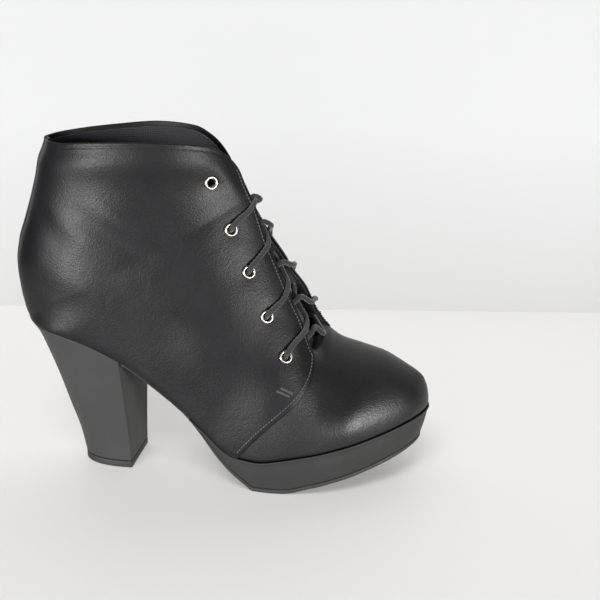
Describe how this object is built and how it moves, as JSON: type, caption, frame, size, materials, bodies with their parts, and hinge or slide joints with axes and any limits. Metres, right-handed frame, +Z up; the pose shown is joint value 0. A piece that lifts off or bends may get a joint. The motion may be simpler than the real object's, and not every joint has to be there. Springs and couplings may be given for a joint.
{
  "type": "lace up ankle boot",
  "caption": "Black ankle boot with a laced throat, nickel eyelets, round cord lace, covered block heel and covered platform.",
  "frame": {"origin": "middle of the flat underside of the heel top piece, on the floor", "axes": "+X along the foot to the toe, +Y to the wearer's left (the medial side of this right shoe), +Z up"},
  "size_m": [0.2337, 0.0853, 0.195],
  "materials": {
    "leather": "smooth semi matt black",
    "rubber": "matt black",
    "nickel": "polished nickel plate",
    "cord": "woven round cord",
    "lining": "black textile lining"
  },
  "bodies": {
    "root": {"upper": "leather", "tongue": "leather", "insole": "lining", "platform": "leather", "outsole": "rubber", "heel": "leather", "heel_top_piece": "rubber", "eyelet_lateral_1": "nickel", "eyelet_lateral_2": "nickel", "eyelet_lateral_3": "nickel", "eyelet_lateral_4": "nickel", "eyelet_lateral_5": "nickel", "eyelet_medial_1": "nickel", "eyelet_medial_2": "nickel", "eyelet_medial_3": "nickel", "eyelet_medial_4": "nickel", "eyelet_medial_5": "nickel", "lace_bar": "cord", "lace_crossing_1": "cord", "lace_crossing_2": "cord", "lace_crossing_3": "cord", "lace_crossing_4": "cord"}
  },
  "joints": []
}
